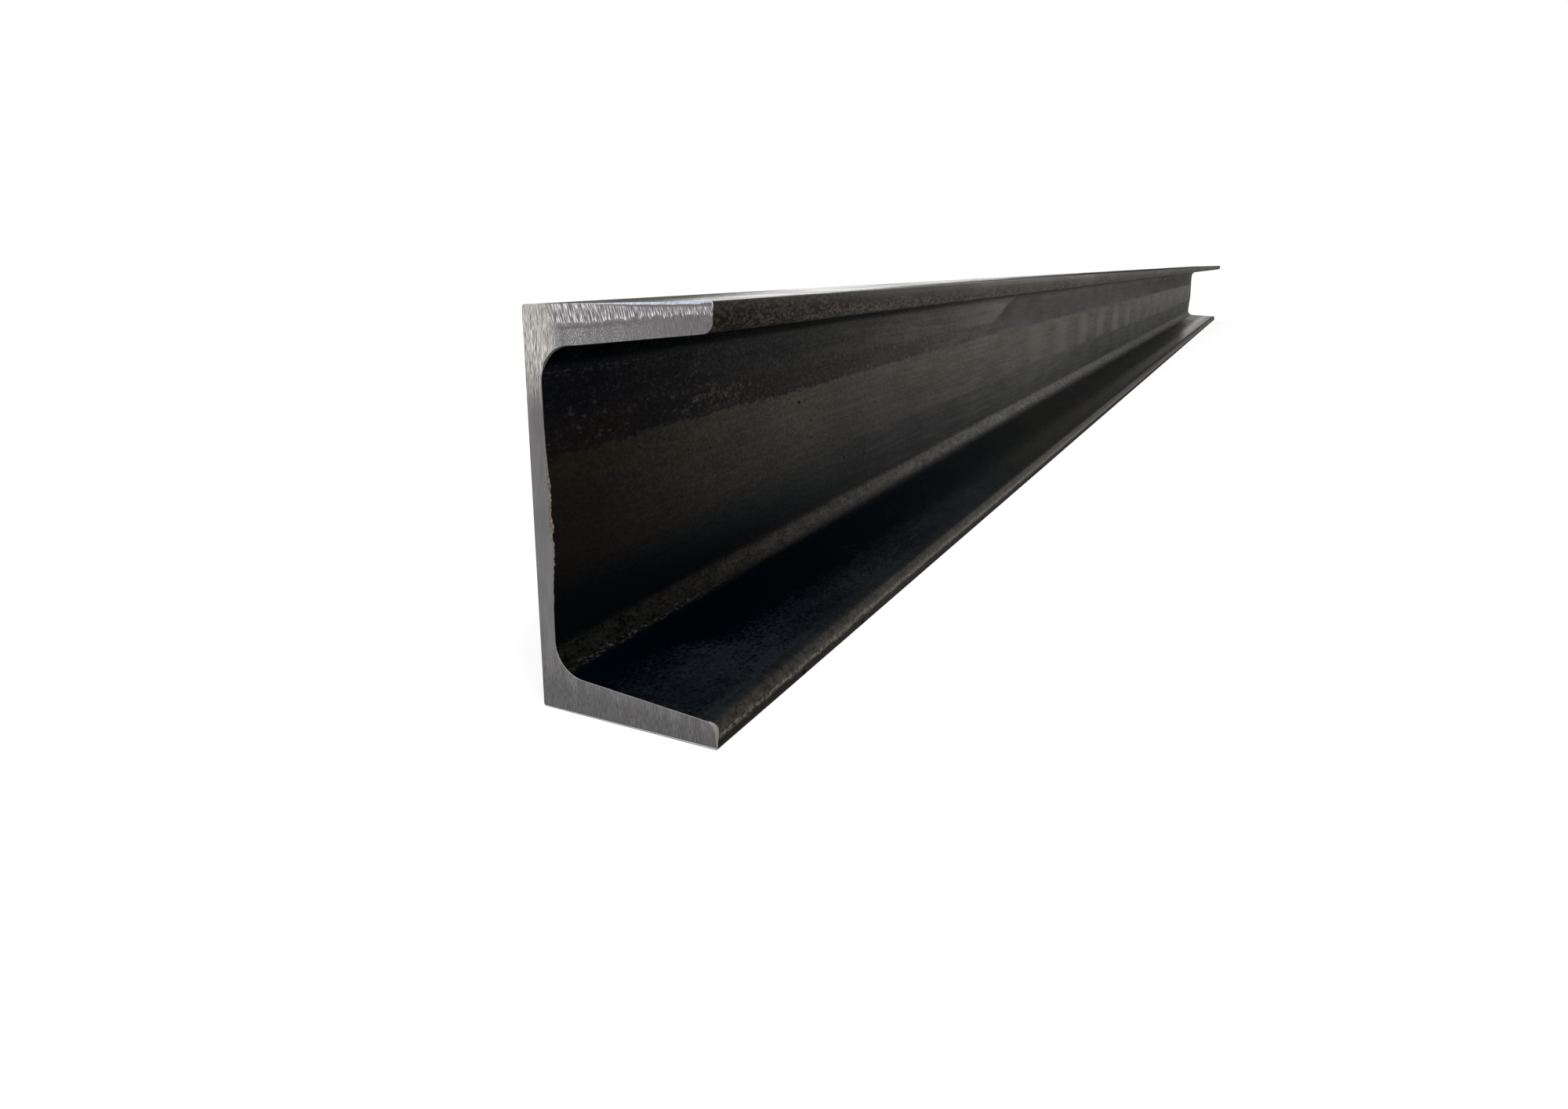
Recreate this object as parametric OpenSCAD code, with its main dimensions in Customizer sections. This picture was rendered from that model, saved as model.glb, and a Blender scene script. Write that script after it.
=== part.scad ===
// Hot-rolled taper-flange steel channel, sawn to length, standing on its lower flange.
// X runs along the length, Y across the flanges (web back at +Y, toes at -Y), Z up.
// The origin is under the middle of the bar, on the plane that the lower flange rests on.

/* [Channel] */
// Length of the bar between its sawn ends
length = 2000; // [300:10:6000]
// Depth of the section, over the outer faces of both flanges
depth = 100; // [80:1:150]
// Width of the flanges, from the web's back to the toes
flange_w = 50; // [40:0.5:75]
// Thickness of the web
web_t = 4.7; // [4:0.1:9]
// Thickness of a flange at half its width
flange_t = 8.5; // [7.5:0.1:12]
// Slope of the flanges' inner faces, as a share of the distance from the web
flange_slope = 0.08; // [0.02:0.005:0.1]

/* [Edges] */
// Radius of the fillet where a flange meets the web
root_r = 8.5; // [4:0.1:15]
// Radius of the inner edge of a flange's toe
toe_r = 2.5; // [1:0.1:4]
// Radius of the outside corners at the web's back
heel_r = 0.8; // [0.3:0.1:2]
// Radius of the outer edge of a flange's toe
arris_r = 0.5; // [0.2:0.1:1]
// Chamfer that breaks the outer edges of the sawn ends
edge_break = 0.5; // [0.2:0.1:1.5]

/* [Hidden] */
$fn = 96;

// Slope of the inner faces, in degrees from the outer faces
taper = atan(flange_slope);
// Flange thickness where the inner face's line meets the toe and the web
toe_t = flange_t - flange_slope * flange_w / 2;
root_t = flange_t + flange_slope * (flange_w / 2 - web_t);
// How far an arc laps over the sides it runs into, so that it crosses them cleanly
lap = 0.01;
// How far the area beside an arc runs past the sides of its corner
margin = 1;
// How far a cutting block runs past the bar
overrun = 10;

// The area between a corner and the arc that runs into both its sides.
// side_a and side_b are directions of length 1, pointing from the corner along its sides.
module corner_rest(corner, side_a, side_b, radius) {
    spread = abs(side_a.x * side_b.y - side_a.y * side_b.x);
    out = (side_a + side_b) / spread;
    centre = corner + (radius - lap) * out;
    foot_a = corner + ((centre - corner) * side_a) * side_a;
    foot_b = corner + ((centre - corner) * side_b) * side_b;
    past = margin / radius;
    difference() {
        polygon([
            corner - margin * out,
            foot_a + past * (foot_a - centre),
            centre,
            foot_b + past * (foot_b - centre)
        ]);
        translate(centre) circle(r = radius);
    }
}

// Places what belongs to the lower flange there and, mirrored, at the upper flange
module at_both_flanges() {
    children();
    translate([0, depth]) mirror([0, 1]) children();
}

// Area filled by the fillet between the web and the lower flange
module root_fillet() {
    corner_rest([web_t, root_t], [0, 1], [cos(taper), -sin(taper)], root_r);
}

// The hollow between the flanges, open past their toes, with the web's back on X = 0
module hollow() {
    mouth_x = flange_w + margin;
    mouth_t = toe_t - flange_slope * margin;
    difference() {
        polygon([[web_t, root_t], [mouth_x, mouth_t], [mouth_x, depth - mouth_t], [web_t, depth - root_t]]);
        at_both_flanges() root_fillet();
    }
}

// What the rolls leave off the lower flange: the inner and outer edges of its toe, and the heel
module rounded_off() {
    corner_rest([flange_w, toe_t], [0, -1], [-cos(taper), sin(taper)], toe_r);
    corner_rest([flange_w, 0], [0, 1], [-1, 0], arris_r);
    corner_rest([0, 0], [1, 0], [0, 1], heel_r);
}

// The rolled section: X from the web's back to the toes, Y from the lower face to the upper face
module section() {
    difference() {
        square([flange_w, depth]);
        hollow();
        at_both_flanges() rounded_off();
    }
}

// Block turned on its edge, whose corner line takes edge_break off an edge of that length along Y
module edge_cut(edge_l) {
    side = edge_break * sqrt(2);
    rotate([0, 45, 0]) cube([side, edge_l + 2 * overrun, side], center = true);
}

// Cuts that break the outer edges of the sawn end at +X
module end_edges() {
    translate([length / 2, 0, 0]) {
        edge_cut(flange_w);
        translate([0, 0, depth]) edge_cut(flange_w);
        translate([0, flange_w / 2, depth / 2]) rotate([90, 0, 0]) edge_cut(depth);
    }
}

// The rolled bar, cut to length and deburred
module channel() {
    color("#2b2a29") difference() {
        translate([-length / 2, flange_w / 2, 0])
            rotate([90, 0, 90])
                linear_extrude(length) mirror([1, 0]) section();
        end_edges();
        mirror([1, 0, 0]) end_edges();
    }
}

channel();
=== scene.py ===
import math

import bmesh
import bpy
import numpy as np
from mathutils import Matrix, Vector
from mathutils.geometry import delaunay_2d_cdt


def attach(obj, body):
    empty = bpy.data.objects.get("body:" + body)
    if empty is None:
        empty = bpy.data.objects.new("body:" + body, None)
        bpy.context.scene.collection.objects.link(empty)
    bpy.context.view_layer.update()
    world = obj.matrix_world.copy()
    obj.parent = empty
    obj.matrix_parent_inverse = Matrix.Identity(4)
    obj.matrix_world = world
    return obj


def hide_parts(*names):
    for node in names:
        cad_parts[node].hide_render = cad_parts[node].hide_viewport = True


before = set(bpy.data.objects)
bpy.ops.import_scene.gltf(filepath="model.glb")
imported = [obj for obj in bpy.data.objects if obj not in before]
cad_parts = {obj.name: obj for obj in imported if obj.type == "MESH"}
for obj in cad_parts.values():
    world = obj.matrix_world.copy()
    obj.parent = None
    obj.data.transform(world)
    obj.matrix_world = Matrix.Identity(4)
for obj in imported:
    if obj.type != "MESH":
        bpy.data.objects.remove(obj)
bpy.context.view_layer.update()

# Sizes of the rolled bar, in metres, as in the part's source
MM = 0.001
LENGTH = 2000 * MM
DEPTH = 100 * MM
FLANGE_W = 50 * MM
WEB_T = 4.7 * MM
FLANGE_T = 8.5 * MM
SLOPE = 0.08
ROOT_R = 8.5 * MM
TOE_R = 2.5 * MM
HEEL_R = 0.8 * MM
ARRIS_R = 0.5 * MM
TAPER = math.atan(SLOPE)

# Zones of the rolled skin that have their own look; the rest is the plain outside
ZONES = ("web", "root", "flange", "toe")

# Spacing of the section's points on its straight sides
SIDE_STEP = {"back": 4.5 * MM, "outer": 3 * MM, "toe": 0.9 * MM, "flange": 2.2 * MM, "web": 2.2 * MM}

# Rows of points along the bar, in millimetres from an end: the first one, and their spacing, which grows with
# the distance from the end
FIRST_ROW = 1.4
ROW_STEP, ROW_STEP_GROWTH, ROW_STEP_MOST = 1.5, 0.022, 9.0

# Spacing of the mesh round the sawn ends and on them, and the least gap between these two
RING_STEP = 0.36 * MM
CAP_STEP = (0.23 * MM, 0.46 * MM)
CAP_GAP = 0.18 * MM

# Three rings round a sawn end, from the skin to the sawn face: how far each lies behind the end and in from
# the skin, as shares of the broken edge, its share of the burr, and how far it looks like a broken edge
EDGE_RINGS = ((1.0, 0.0, 0.0, 0.6), (0.36, 0.36, 1.0, 1.0), (0.0, 1.0, 0.92, 0.0))

# Seeds of the near and the far sawn end's marks, and what is added to them for the burr
NEAR_SEED, FAR_SEED, BURR_SEED = 21, 57, 30

# Material slots of the bar, and the angle past which its edges stay sharp
SKIN_SLOT, SAWN_SLOT = 0, 1
SHARP_ANGLE = math.radians(38)

# The photograph's camera: frame, focal length and principal point in pixels, place and clipping in metres
PHOTO_W, PHOTO_H = 2000, 1414
FOCAL_PX = 1236.7
CENTRE_PX = (821.1, 661.9)
CAMERA_AT = (-1.17762, -0.1216, 0.10457)
CAMERA_RIGHT = (0.5365, -0.8434, -0.0282)
CAMERA_DOWN = (-0.2167, -0.1054, -0.9705)
CAMERA_AHEAD = (0.8156, 0.5268, -0.2393)
SENSOR_MM = 36.0
CLIP_NEAR, CLIP_FAR = 0.01, 200.0

# Studio: the sky's fill on the object, the glow that makes the seen floor white, and half the floor's width
SKY_FILL = 0.62
FLOOR_GLOW = 0.63
FLOOR_HALF = 40.0

# The key lamp: place, aim and size in metres, power in watts
KEY_AT = (-2.2, -1.8, 2.6)
KEY_AIM = (-0.6, 0.0, 0.05)
KEY_SIZE = (2.5, 2.5)
KEY_POWER = 60.0


# Noise for the mesh

def value_noise(a, b, seed):
    """Smooth noise from 0 to 1 at the points a, b, one cell per unit."""
    table = np.random.default_rng(seed).random((256, 256))
    ia, ib = np.floor(a).astype(int), np.floor(b).astype(int)
    fa, fb = a - ia, b - ib
    fa, fb = fa * fa * (3 - 2 * fa), fb * fb * (3 - 2 * fb)
    ia, ib, ja, jb = ia & 255, ib & 255, (ia + 1) & 255, (ib + 1) & 255
    low = table[ia, ib] * (1 - fa) + table[ja, ib] * fa
    high = table[ia, jb] * (1 - fa) + table[ja, jb] * fa
    return low * (1 - fb) + high * fb


def smooth_step(x, lo, hi):
    """0 below lo and 1 above hi, eased between them."""
    t = np.clip((x - lo) / (hi - lo), 0, 1)
    return t * t * (3 - 2 * t)


# The section's outline

def arc(centre, radius, start, end, count, inward=False):
    """Points and outward normals on an arc; inward is for a fillet, whose normals point to its centre."""
    angles = np.radians(np.linspace(start, end, count))
    normals = np.stack([np.cos(angles), np.sin(angles)], 1)
    return np.asarray(centre) + (-radius if inward else radius) * normals, normals


def line(start, end, normal, step):
    """Points at about that step between two ends, which are left out, with one normal."""
    start, end = np.asarray(start, float), np.asarray(end, float)
    count = max(2, int(round(np.linalg.norm(end - start) / step)))
    share = np.linspace(0, 1, count + 1)[1:-1, None]
    return start + share * (end - start), np.repeat(np.asarray([normal], float), len(share), 0)


def lower_half():
    """The outline from the middle of the web's back, round the lower flange, to the middle of the web's
    inner face: lists of (zone, points, normals), with u from the web's back and v up."""
    slope_n = np.array([math.sin(TAPER), math.cos(TAPER)])
    reach = math.tan((math.pi / 2 - TAPER) / 2)
    toe_t = FLANGE_T - SLOPE * FLANGE_W / 2
    root_t = FLANGE_T + SLOPE * (FLANGE_W / 2 - WEB_T)
    root_c = np.array([WEB_T + ROOT_R, root_t + ROOT_R * reach])
    toe_c = np.array([FLANGE_W - TOE_R, toe_t - TOE_R * reach])
    slope_deg = 90 - math.degrees(TAPER)
    heel = arc((HEEL_R, HEEL_R), HEEL_R, 180, 270, 5)
    arris = arc((FLANGE_W - ARRIS_R, ARRIS_R), ARRIS_R, -90, 0, 5)
    toe = arc(toe_c, TOE_R, 0, slope_deg, 9)
    root = arc(root_c, ROOT_R, slope_deg, 0, 15, inward=True)
    return [
        ("back", *line((0, DEPTH / 2), heel[0][0], (-1, 0), SIDE_STEP["back"])),
        ("outer", *heel),
        ("outer", *line(heel[0][-1], arris[0][0], (0, -1), SIDE_STEP["outer"])),
        ("toe", *arris),
        ("toe", *line(arris[0][-1], toe[0][0], (1, 0), SIDE_STEP["toe"])),
        ("toe", *toe),
        ("flange", *line(toe[0][-1], root[0][0], slope_n, SIDE_STEP["flange"])),
        ("root", *root),
        ("web", *line(root[0][-1], (WEB_T, DEPTH / 2), (1, 0), SIDE_STEP["web"])),
    ]


def outline():
    """The closed outline: points, outward normals and the zone of each point."""
    half = lower_half()
    zones = [zone for zone, points, _ in half for _ in points]
    points = np.concatenate([p for _, p, _ in half])
    normals = np.concatenate([n for _, _, n in half])
    middle_in, middle_back = [[WEB_T, DEPTH / 2]], [[0, DEPTH / 2]]
    points = np.concatenate([
        middle_back, points, middle_in, (points * [1, -1] + [0, DEPTH])[::-1]])
    normals = np.concatenate([[[-1, 0]], normals, [[1, 0]], (normals * [1, -1])[::-1]])
    return points, normals, ["back"] + zones + ["web"] + zones[::-1]


def subdivided(points, normals, step):
    """The closed outline with every side cut to at most that step, and the first new index of each old
    point."""
    new_points, new_normals, first = [], [], []
    for i in range(len(points)):
        j = (i + 1) % len(points)
        count = max(1, math.ceil(np.linalg.norm(points[j] - points[i]) / step))
        share = np.arange(count)[:, None] / count
        first.append(len(new_points))
        blended = normals[i] + share * (normals[j] - normals[i])
        new_points.extend(points[i] + share * (points[j] - points[i]))
        new_normals.extend(blended / np.linalg.norm(blended, axis=1, keepdims=True))
    return np.array(new_points), np.array(new_normals), first


# The relief of the rolled skin and of the sawn ends

def skin_depth(x, points):
    """How far the rolled skin lies under its true surface at each station x and outline point."""
    girth = np.concatenate([[0], np.cumsum(np.linalg.norm(np.diff(points, axis=0), axis=1))])
    a, b = np.meshgrid(x, girth, indexing="ij")
    swell = 0.10 * value_noise(a / 0.16, b / 0.05, 3)
    ripple = 0.02 * value_noise(a / 0.030, b / 0.018, 4)
    grain = 0.02 * value_noise(a / 0.004, b / 0.003, 5)
    return (swell + ripple + grain) * MM


def bump_at(x, centre, width):
    """1 at the centre, falling off to each side over about the width."""
    return np.exp(-((x - centre) / width) ** 2)


def saw_marks(points, seed):
    """Depth of the saw's marks on a sawn end, in metres."""
    u, v = points[:, 0] / MM, points[:, 1] / MM
    lean = u + 0.03 * v
    lines = value_noise(lean / 0.42, v / 15, seed)
    broad = value_noise(lean / 2.6, v / 45, seed + 1)
    stroke = value_noise((u + 0.27 * v) / 0.5, v / 2.6, seed + 2)
    edge = 95.6 + 1.2 * smooth_step(u, 8, 46)
    torn = smooth_step(v, edge - 0.3, edge + 0.4) * smooth_step(u, 5, 9) * smooth_step(v, 99.9, 99.0)
    corner = smooth_step(v, 74, 92) * smooth_step(u, 10, 6)
    return (0.02 * lines + 0.05 * broad + 0.15 * torn * stroke + 0.05 * corner * lines) * MM


def edge_break(points, normals, seed):
    """Size of the broken edge round a sawn end, at each outline point."""
    u, v = points[:, 0] / MM, points[:, 1] / MM
    size = 0.14 + 0.06 * ((normals[:, 1] > 0.3) & (points[:, 1] < 20 * MM))
    top = smooth_step(v, 99.4, 99.9) * (normals[:, 1] > 0.3)
    size = size + top * (0.05 + 0.55 * smooth_step(u, 8, 44) * smooth_step(u, 50, 46))
    lower_toe = (normals[:, 0] > 0.1) & (u > 46) & (v < 12)
    size = size + lower_toe * 0.8 * bump_at(v, 4.6, 2.2)
    fillet = smooth_step(v, 84, 87) * smooth_step(u, 4.4, 4.8) * smooth_step(u, 16, 9) * (v < 95)
    size = size + 0.4 * fillet
    uneven = 0.75 + 0.5 * value_noise(u / 1.5, v / 1.5, seed + 1)
    size = size * np.where((u < 1) | (v < 1), 1, uneven)
    corner = (np.minimum(u, 50 - u) < 0.9) & ((v < 0.9) | (v > 99.1))
    return np.where(corner, np.minimum(size, 0.36), size) * MM


def burr(points, normals, seed):
    """How far the saw has pushed a ragged lip over the web's inner edge, at each outline point."""
    v = points[:, 1] / MM
    on_web = (np.abs(points[:, 0] - WEB_T) < 0.2 * MM) & (normals[:, 0] > 0.9)
    reach = 0.95 * smooth_step(v, 17, 52) * smooth_step(v, 76, 50) + 0.25 * bump_at(v, 40, 6)
    ragged = 0.55 + 0.6 * value_noise(v / 1.2, v * 0, seed) + 0.3 * value_noise(v / 0.45, v * 0, seed + 1)
    return np.where(on_web, reach * ragged, 0) * MM


# The bar's mesh

def stations():
    """Places along X of the skin's rows, close together near the ends."""
    half = LENGTH / 2 / MM
    rows = [FIRST_ROW]
    while rows[-1] < half:
        rows.append(rows[-1] + min(ROW_STEP_MOST, ROW_STEP + rows[-1] * ROW_STEP_GROWTH))
    near = np.array(rows) * half / rows[-1]
    from_near = np.concatenate([near, 2 * half - near[-2::-1]])
    return from_near * MM - LENGTH / 2


def to_space(x, points):
    """Points of the section at the given x, in the part's frame."""
    return np.stack([np.broadcast_to(x, len(points)), FLANGE_W / 2 - points[:, 0], points[:, 1]], 1)


def inside(points, loop):
    """Which points lie inside a closed loop."""
    hit = np.zeros(len(points), bool)
    for a, b in zip(loop, np.roll(loop, -1, 0)):
        if a[1] != b[1]:
            crosses = (a[1] > points[:, 1]) != (b[1] > points[:, 1])
            at = a[0] + (points[:, 1] - a[1]) * (b[0] - a[0]) / (b[1] - a[1])
            hit ^= crosses & (points[:, 0] < at)
    return hit


def cap_triangles(loop, step_u, step_v):
    """Points inside a closed loop on a lattice, and triangles over the loop's points and those."""
    us = np.arange(0, FLANGE_W, step_u)
    vs = np.arange(0, DEPTH, step_v)
    grid = np.stack(np.meshgrid(us, vs, indexing="ij"), -1)
    grid[1::2, :, 1] += step_v / 2
    grid = grid.reshape(-1, 2)
    grid = grid[inside(grid, loop)]
    clear = np.full(len(grid), np.inf)
    for a in loop:
        clear = np.minimum(clear, np.linalg.norm(grid - a, axis=1))
    grid = grid[clear > CAP_GAP]
    per_mm = 1 / MM
    verts = [Vector(p) for p in np.concatenate([loop, grid]) * per_mm]
    count = len(loop)
    edges = [(i, (i + 1) % count) for i in range(count)]
    only_inside, merge_gap = 1, 1e-5
    found = delaunay_2d_cdt(verts, edges, [list(range(count))], only_inside, merge_gap)
    tris, origin = found[2], found[3]
    index = [o[0] if o else -1 for o in origin]
    return grid, [[index[i] for i in t] for t in tris]


def rolled_rows(points, normals):
    """The rolled skin: its points, row by row along the bar, the faces between them and the count of rows."""
    n = len(points)
    xs = stations()
    depth = skin_depth(xs, points)
    verts = np.concatenate([to_space(x, points - normals * depth[i][:, None]) for i, x in enumerate(xs)])
    faces = []
    for i in range(len(xs) - 1):
        for j in range(n):
            k = (j + 1) % n
            faces.append((i * n + j, i * n + k, (i + 1) * n + k, (i + 1) * n + j))
    return verts, faces, len(xs)


def sawn_end(points, normals, sign, seed):
    """A sawn end: the points of its edge rings and of its face, and the face's triangles, counted from the
    last ring. sign is 1 at the near end and -1 at the far one."""
    size = edge_break(points, normals, seed)
    lip = burr(points, normals, seed + BURR_SEED)
    face_x = -sign * LENGTH / 2
    loops = []
    for back, inset, out, _ in EDGE_RINGS:
        ring = points - normals * (size * inset - lip * out)[:, None]
        marks = saw_marks(ring, seed)
        set_back = size * back + lip * (0.55 * back + 0.1) + marks * (0.5 + 0.5 * inset)
        loops.append(to_space(face_x + sign * set_back, ring))
    grid, tris = cap_triangles(ring, *CAP_STEP)
    inner = to_space(face_x + sign * saw_marks(grid, seed), grid)
    return np.concatenate([*loops, inner]), tris


def channel_mesh():
    """The whole bar as one closed mesh, with its saw marks, broken edges and rolled skin."""
    points, normals, zones = outline()
    n = len(points)
    verts, faces, rows = rolled_rows(points, normals)
    slots = [SKIN_SLOT] * len(faces)
    names = zones * rows
    broken = np.zeros(len(names))
    fine, fine_normals, first = subdivided(points, normals, RING_STEP)
    m = len(fine)
    first.append(m)
    fine_zones = [zones[j] for j in range(n) for _ in range(first[j + 1] - first[j])]
    for row, sign, seed in ((0, 1, NEAR_SEED), (rows - 1, -1, FAR_SEED)):
        base = len(verts)
        end_verts, tris = sawn_end(fine, fine_normals, sign, seed)
        on_face = len(end_verts) - len(EDGE_RINGS) * m
        verts = np.concatenate([verts, end_verts])
        names += fine_zones * len(EDGE_RINGS) + ["cut"] * on_face
        on_rings = [np.full(m, share) for _, _, _, share in EDGE_RINGS]
        broken = np.concatenate([broken, *on_rings, np.zeros(on_face)])
        for j in range(n):
            chain = [base + i % m for i in range(first[j], first[j + 1] + 1)]
            faces.append(tuple(chain + [row * n + (j + 1) % n, row * n + j]))
            slots.append(SKIN_SLOT)
        for ring_start in (base, base + m):
            for i in range(m):
                k = (i + 1) % m
                faces.append((ring_start + i, ring_start + k, ring_start + m + k, ring_start + m + i))
                slots.append(SAWN_SLOT)
        faces += [tuple(base + 2 * m + i for i in t) for t in tris]
        slots += [SAWN_SLOT] * len(tris)
    mesh = bpy.data.meshes.new("channel_surface")
    mesh.from_pydata(verts.tolist(), [], faces)
    mesh.polygons.foreach_set("material_index", slots)
    mesh.polygons.foreach_set("use_smooth", [True] * len(faces))
    layers = {zone: [float(name == zone) for name in names] for zone in ZONES}
    layers["broken"] = broken
    for name, values in layers.items():
        mesh.attributes.new(name, "FLOAT", "POINT").data.foreach_set("value", values)
    mesh.validate()
    fix_normals(mesh)
    return mesh


def fix_normals(mesh):
    """Turns every face outwards and keeps the edges of the sawn ends sharp."""
    work = bmesh.new()
    work.from_mesh(mesh)
    bmesh.ops.recalc_face_normals(work, faces=work.faces)
    work.to_mesh(mesh)
    work.free()
    mesh.set_sharp_from_angle(angle=SHARP_ANGLE)


# Node helpers

class Tree:
    """A material's or world's nodes, made by short calls. Lengths in it are millimetres: along is measured
    from the near end, across from the web's back and up from the floor."""

    def __init__(self, owner):
        owner.use_nodes = True
        self.nodes, self.links = owner.node_tree.nodes, owner.node_tree.links
        self.nodes.clear()

    def add(self, kind, inputs=None, **settings):
        """A new node with these settings, and with a number, colour or other node's output at each input."""
        node = self.nodes.new(kind)
        for key, value in settings.items():
            setattr(node, key, value)
        for key, value in (inputs or {}).items():
            self.put(node.inputs[key], value)
        return node

    def put(self, socket, value):
        if isinstance(value, bpy.types.NodeSocket):
            self.links.new(value, socket)
        else:
            socket.default_value = value

    def math(self, operation, a, b=0.0):
        return self.add("ShaderNodeMath", {0: a, 1: b}, operation=operation).outputs[0]

    def plus(self, first, *rest):
        for value in rest:
            first = self.math("ADD", first, value)
        return first

    def minus(self, a, b):
        return self.math("SUBTRACT", a, b)

    def times(self, first, *rest):
        for value in rest:
            first = self.math("MULTIPLY", first, value)
        return first

    def either(self, first, *rest):
        for value in rest:
            first = self.math("MAXIMUM", first, value)
        return first

    def ramp(self, value, lo, hi, out_lo=0.0, out_hi=1.0, kind="LINEAR"):
        """Maps lo..hi straight to out_lo..out_hi and holds the ends."""
        inputs = {0: value, 1: lo, 2: hi, 3: out_lo, 4: out_hi}
        return self.add("ShaderNodeMapRange", inputs, interpolation_type=kind).outputs[0]

    def span(self, value, lo, hi, out_lo=0.0, out_hi=1.0):
        """As ramp, but eased at both ends."""
        return self.ramp(value, lo, hi, out_lo, out_hi, "SMOOTHSTEP")

    def band(self, value, lo, hi, soft):
        """1 from lo to hi, eased to 0 over soft on both sides."""
        return self.times(self.span(value, lo - soft, lo + soft), self.span(value, hi + soft, hi - soft))

    def mix(self, factor, a, b):
        """Colour a where factor is 0 and b where it is 1."""
        node = self.add("ShaderNodeMix", {0: factor, 6: a, 7: b}, data_type="RGBA")
        return node.outputs[2]

    def blend(self, factor, a, b):
        """Number a where factor is 0 and b where it is 1."""
        return self.add("ShaderNodeMix", {0: factor, 2: a, 3: b}, data_type="FLOAT").outputs[0]

    def tinted(self, colour, factor):
        """A colour times a number."""
        node = self.add("ShaderNodeVectorMath", {0: colour, 3: factor}, operation="SCALE")
        return node.outputs[0]

    def attribute(self, name):
        return self.add("ShaderNodeAttribute", attribute_name=name).outputs["Fac"]

    def measure(self):
        """Makes self.place and its parts self.along, self.across and self.up."""
        coords = self.add("ShaderNodeTexCoord").outputs["Object"]
        inputs = {0: coords, 1: (1000, -1000, 1000), 2: (LENGTH * 500, FLANGE_W * 500, 0)}
        self.place = self.add("ShaderNodeVectorMath", inputs, operation="MULTIPLY_ADD").outputs[0]
        self.along, self.across, self.up = self.add("ShaderNodeSeparateXYZ", {0: self.place}).outputs

    def noise(self, cell, detail=2.0, seed=0.0, fall=0.0, lean=0.0, roughness=0.5):
        """Noise about 0.5, its features of the given size along, across and up. fall slants it down along the
        bar, and lean slants it across the section."""
        place = self.place
        if fall or lean:
            across = self.plus(self.across, self.times(self.up, lean))
            up = self.plus(self.up, self.times(self.along, fall))
            place = self.add("ShaderNodeCombineXYZ", {0: self.along, 1: across, 2: up}).outputs[0]
        inputs = {0: place, 1: tuple(1 / c for c in cell), 2: (seed, seed * 1.7, seed * 2.3)}
        vector = self.add("ShaderNodeVectorMath", inputs, operation="MULTIPLY_ADD").outputs[0]
        inputs = {"Vector": vector, "Scale": 1.0, "Detail": detail, "Roughness": roughness}
        return self.add("ShaderNodeTexNoise", inputs).outputs["Fac"]

    def spot(self, along, up, radius, stretch=1.0):
        """1 at a place seen from the side, 0 past the radius, which is stretched along the bar."""
        da = self.times(self.minus(self.along, along), 1 / stretch)
        du = self.minus(self.up, up)
        far = self.math("SQRT", self.plus(self.times(da, da), self.times(du, du)))
        return self.span(far, radius, radius * 0.3)


def rgb(r, g, b):
    return (r, g, b, 1.0)


def laid(t, look, mask, **over):
    """A look with another laid over it where mask is 1; what isn't named shows through."""
    new = dict(look)
    for key, value in over.items():
        join = t.mix if key == "colour" else t.blend
        new[key] = join(mask, look[key], value)
    return new


# The rolled skin, one zone at a time

def skin_fields(t):
    """The patterns that all zones of the rolled skin share."""
    t.grain = t.noise((1.5, 0.8, 0.8), 3, 1, roughness=0.6)
    t.fleck = t.noise((6.5, 3.0, 2.8), 3, 2, roughness=0.6)
    t.streak = t.noise((55, 1.5, 1.5), 3, 3)
    t.cloud = t.noise((60, 20, 20), 2, 4)
    t.rub = t.noise((26, 9, 1.1), 2, 5, fall=0.24)
    t.teeth = t.noise((2.2, 9, 2.0), 3, 6)
    t.curve = t.noise((48, 13, 13), 1, 7)


def outside_skin(t):
    """The back and the outer faces of the flanges: streaked scale with worn grey patches and a little
    rust."""
    dark = t.mix(t.span(t.streak, 0.35, 0.65), rgb(0.012, 0.0125, 0.0135), rgb(0.022, 0.0215, 0.0205))
    worn = t.plus(t.cloud, t.times(t.streak, 0.5), t.times(t.fleck, 0.25))
    look = {
        "colour": t.mix(t.span(worn, 0.78, 1.06), dark, rgb(0.040, 0.039, 0.037)),
        "gloss": 1.0,
        "rough": t.plus(t.ramp(t.streak, 0.3, 0.7, 0.40, 0.50), t.ramp(worn, 0.8, 1.05, 0.0, 0.06)),
    }
    look = laid(t, look, t.span(t.fleck, 0.63, 0.69), colour=rgb(0.060, 0.058, 0.055), rough=0.5)
    rust = t.times(t.span(t.cloud, 0.45, 0.36), t.span(t.grain, 0.46, 0.60), t.span(t.fleck, 0.42, 0.56))
    look = laid(t, look, rust, colour=rgb(0.052, 0.026, 0.014), rough=0.62)
    look = laid(t, look, t.span(t.streak, 0.70, 0.73), colour=rgb(0.085, 0.084, 0.082), rough=0.4)
    return top_skin(t, look)


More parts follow.
